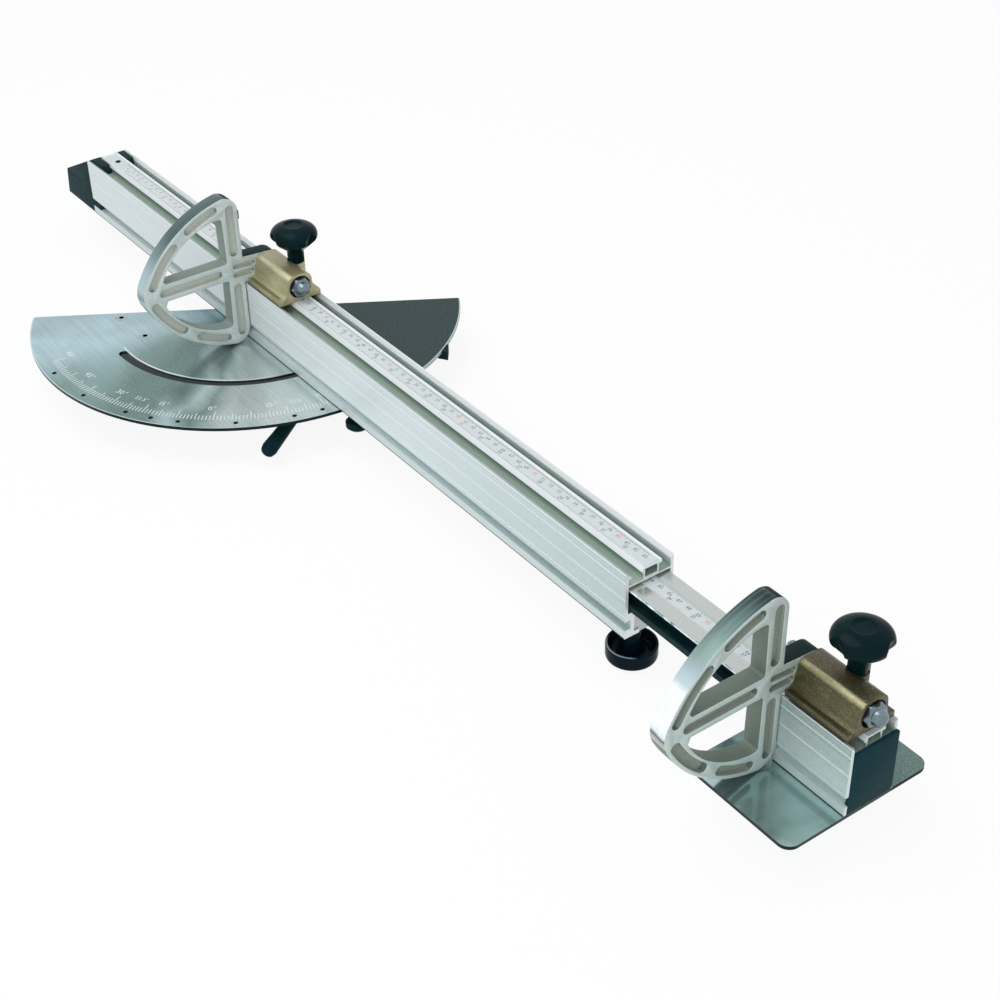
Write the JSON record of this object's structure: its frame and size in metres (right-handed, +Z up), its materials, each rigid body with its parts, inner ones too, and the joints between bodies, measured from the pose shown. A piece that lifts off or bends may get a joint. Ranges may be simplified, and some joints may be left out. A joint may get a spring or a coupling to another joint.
{
  "type": "miter stop",
  "caption": "Swivelling telescopic miter fence on a half-round degree plate, with flip stops in brass carriers, a measuring tape and clamping knobs.",
  "frame": {"origin": "pivot of the fence on the underside of the degree plate", "axes": "+X along the fence beam towards the telescope end, +Z up from the table, -Y towards the flaps"},
  "size_m": [1.1491, 0.3722, 0.1835],
  "materials": {
    "plate_steel": "ground and lightly mirrored",
    "screw_steel": "turned steel",
    "blackened_steel": "semi-gloss black",
    "inner_aluminium": "mill finish",
    "anodised_aluminium": "satin anodised",
    "bar_aluminium": "satin anodised",
    "cast_aluminium": "cast, rims polished",
    "scale_white": "printed scale tape",
    "cap_black": "moulded, fine grain",
    "guide_plastic": "moulded",
    "rubber_black": "soft",
    "carrier_brass": "cast, satin",
    "knob_black": "moulded, glossy"
  },
  "bodies": {
    "plate": {"degree_plate": "plate_steel", "table_screws": "screw_steel", "rim_stop": "blackened_steel", "pivot_pin": "screw_steel", "pivot_nut": "screw_steel"},
    "beam": {"beam_profile": "anodised_aluminium", "pivot_block": "inner_aluminium", "beam_tape": "scale_white", "tape_screw": "blackened_steel", "beam_end_cap": "cap_black", "extension_guide": "guide_plastic", "clamp_block": "inner_aluminium", "swivel_stud": "screw_steel", "swivel_washer": "screw_steel", "index_bracket": "inner_aluminium"},
    "lever": {"swivel_lever": "blackened_steel"},
    "latch": {"index_latch": "blackened_steel", "index_knob": "knob_black"},
    "wheel": {"handwheel": "knob_black", "clamp_screw": "screw_steel", "clamp_pad": "carrier_brass"},
    "extension": {"extension_bar": "bar_aluminium", "extension_tape": "scale_white", "end_block": "anodised_aluminium", "end_block_cap": "cap_black", "block_screws": "screw_steel", "support_plate": "plate_steel", "support_screws": "screw_steel"},
    "beam_stop": {"beam_stop_carrier": "carrier_brass", "beam_stop_pin": "screw_steel", "beam_stop_washer": "screw_steel", "beam_stop_nut": "screw_steel", "beam_stop_t_nut": "screw_steel"},
    "beam_stop_arm": {"beam_stop_flap": "cast_aluminium", "beam_stop_bumpers": "rubber_black"},
    "beam_stop_clamp": {"beam_stop_knob": "knob_black", "beam_stop_stud": "screw_steel"},
    "end_stop": {"end_stop_carrier": "carrier_brass", "end_stop_pin": "screw_steel", "end_stop_washer": "screw_steel", "end_stop_nut": "screw_steel", "end_stop_t_nut": "screw_steel"},
    "end_stop_arm": {"end_stop_flap": "cast_aluminium", "end_stop_bumpers": "rubber_black"},
    "end_stop_clamp": {"end_stop_knob": "knob_black", "end_stop_stud": "screw_steel"}
  },
  "joints": [
    {"name": "beam_swing", "type": "hinge", "parent": "plate", "child": "beam", "pos_m": [0, 0, 0], "axis": [0, 0, 1], "range_deg": [-86, 22]},
    {"name": "swivel_clamp_turn", "type": "hinge", "parent": "beam", "child": "lever", "pos_m": [0.1277, 0, 0], "axis": [0, 0, 1], "range_deg": [-80, 25]},
    {"name": "index_latch_pull", "type": "slide", "parent": "beam", "child": "latch", "axis": [0, 0, 1], "range_m": [-0.004, 0], "stiffness_N_per_m": 600, "springref_m": 0.003},
    {"name": "telescope_clamp_turn", "type": "hinge", "parent": "beam", "child": "wheel", "pos_m": [0.5675, 0, 0], "axis": [0, 0, 1], "range_deg": [-330, 30]},
    {"name": "telescope_slide", "type": "slide", "parent": "beam", "child": "extension", "axis": [1, 0, 0], "range_m": [-0.118, 0.18]},
    {"name": "beam_stop_slide", "type": "slide", "parent": "beam", "child": "beam_stop", "axis": [1, 0, 0], "range_m": [-0.28, 0.44]},
    {"name": "beam_stop_flip", "type": "hinge", "parent": "beam_stop", "child": "beam_stop_arm", "pos_m": [0.042, 0.0015, 0.074], "axis": [-1, 0, 0], "range_deg": [0, 110]},
    {"name": "beam_stop_knob_turn", "type": "hinge", "parent": "beam_stop", "child": "beam_stop_clamp", "pos_m": [0.0773, 0.01515, 0.1], "axis": [0, 0, 1], "range_deg": [-30, 330]},
    {"name": "end_stop_slide", "type": "slide", "parent": "extension", "child": "end_stop", "axis": [1, 0, 0], "range_m": [-0.02, 0]},
    {"name": "end_stop_flip", "type": "hinge", "parent": "end_stop", "child": "end_stop_arm", "pos_m": [0.7342, 0.0015, 0.074], "axis": [-1, 0, 0], "range_deg": [0, 110]},
    {"name": "end_stop_knob_turn", "type": "hinge", "parent": "end_stop", "child": "end_stop_clamp", "pos_m": [0.7695, 0.01515, 0.1], "axis": [0, 0, 1], "range_deg": [-30, 330]}
  ]
}
